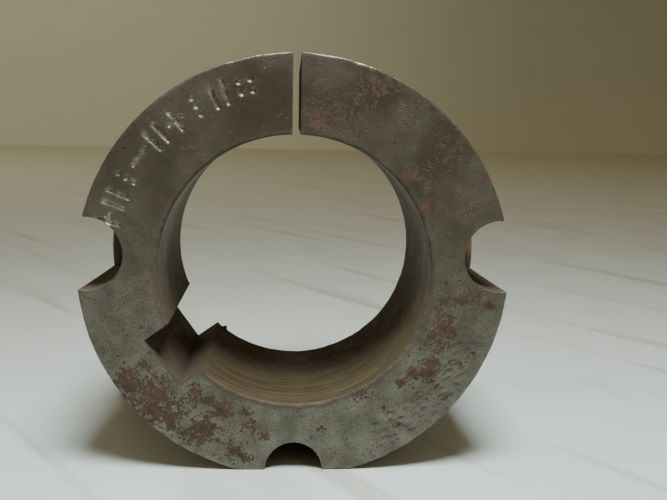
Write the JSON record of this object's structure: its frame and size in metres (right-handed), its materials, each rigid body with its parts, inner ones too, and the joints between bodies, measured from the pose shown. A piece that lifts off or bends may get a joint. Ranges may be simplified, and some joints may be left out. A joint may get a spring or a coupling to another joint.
{
  "type": "split taper bush",
  "caption": "Slit conical bush with a keyed bore that locks a V-belt pulley on its shaft, with its loose grub screws.",
  "frame": {"origin": "on the bore's axis, halfway along the bush", "axes": "+Y along the bore from the large end to the small end, +Z towards the slit, +X to the right as the large end is seen"},
  "size_m": [0.0712, 0.0556, 0.0685],
  "materials": {
    "cast_body": "machined, oiled, with light rust",
    "screw_steel": "black oxide"
  },
  "bodies": {
    "bush": {"taper_bush": "cast_body"},
    "left_screw": {"left_grub_screw": "screw_steel"},
    "right_screw": {"right_grub_screw": "screw_steel"}
  },
  "joints": [
    {"name": "left_screw_lift", "type": "slide", "parent": "bush", "child": "left_screw", "axis": [0, 0, 1], "range_m": [0, 0.06]},
    {"name": "right_screw_lift", "type": "slide", "parent": "bush", "child": "right_screw", "axis": [0, 0, 1], "range_m": [0, 0.06]}
  ]
}
